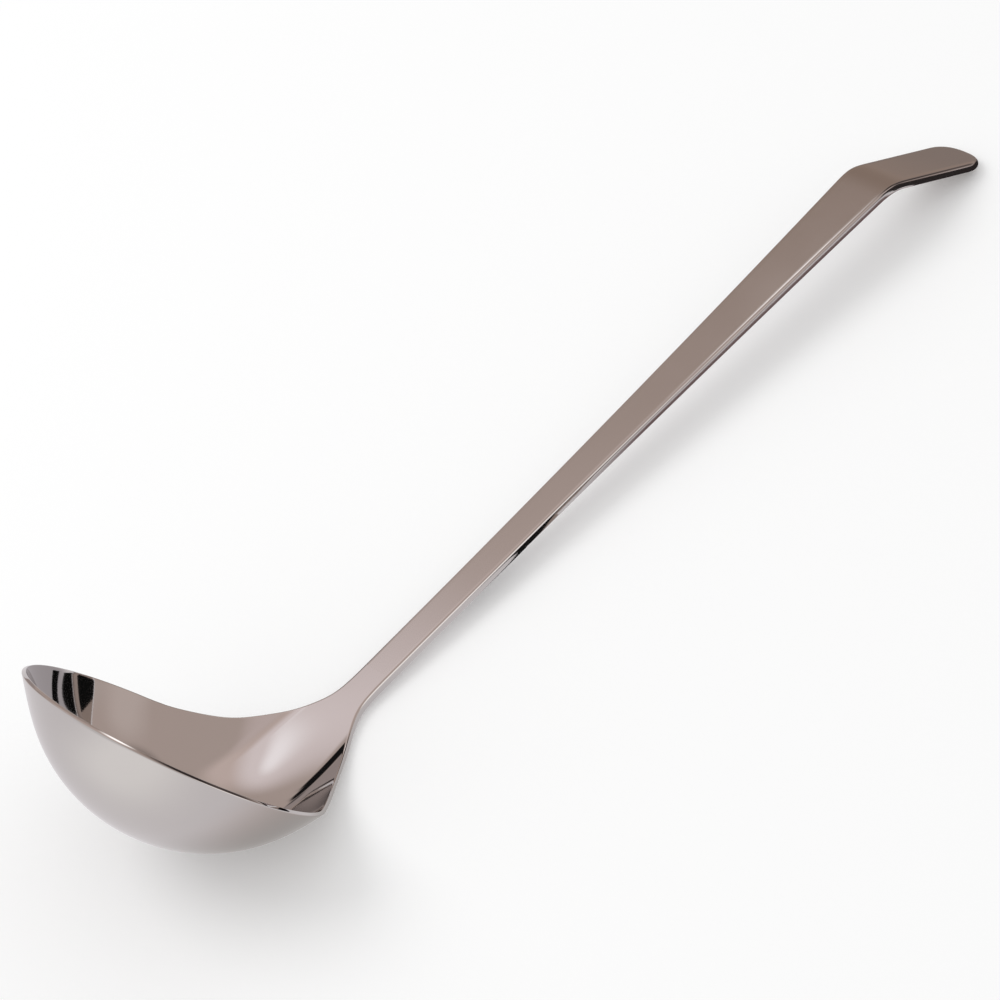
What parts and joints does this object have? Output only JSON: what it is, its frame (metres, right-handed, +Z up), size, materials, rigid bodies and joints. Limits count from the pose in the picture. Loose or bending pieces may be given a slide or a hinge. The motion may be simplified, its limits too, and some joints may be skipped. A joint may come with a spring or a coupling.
{
  "type": "kitchen ladle",
  "caption": "Polished steel ladle: round pressed bowl narrowing into a long flat handle that widens to a bent-over hook, for serving soup.",
  "frame": {"origin": "middle of the ladle's footprint on the table that it lies on, back of the bowl and tip of the hook touching the table", "axes": "+X along the handle from the bowl to the hook, +Y across, +Z up from the table"},
  "size_m": [0.3346, 0.085, 0.0714],
  "materials": {
    "bowl": "mirror-polished stainless steel sheet",
    "weld_seam": "weld metal ground flush and polished with its neighbours",
    "handle": "mirror-polished stainless steel bar"
  },
  "bodies": {
    "root": {"bowl": "bowl", "weld_seam": "weld_seam", "handle": "handle"}
  },
  "joints": []
}
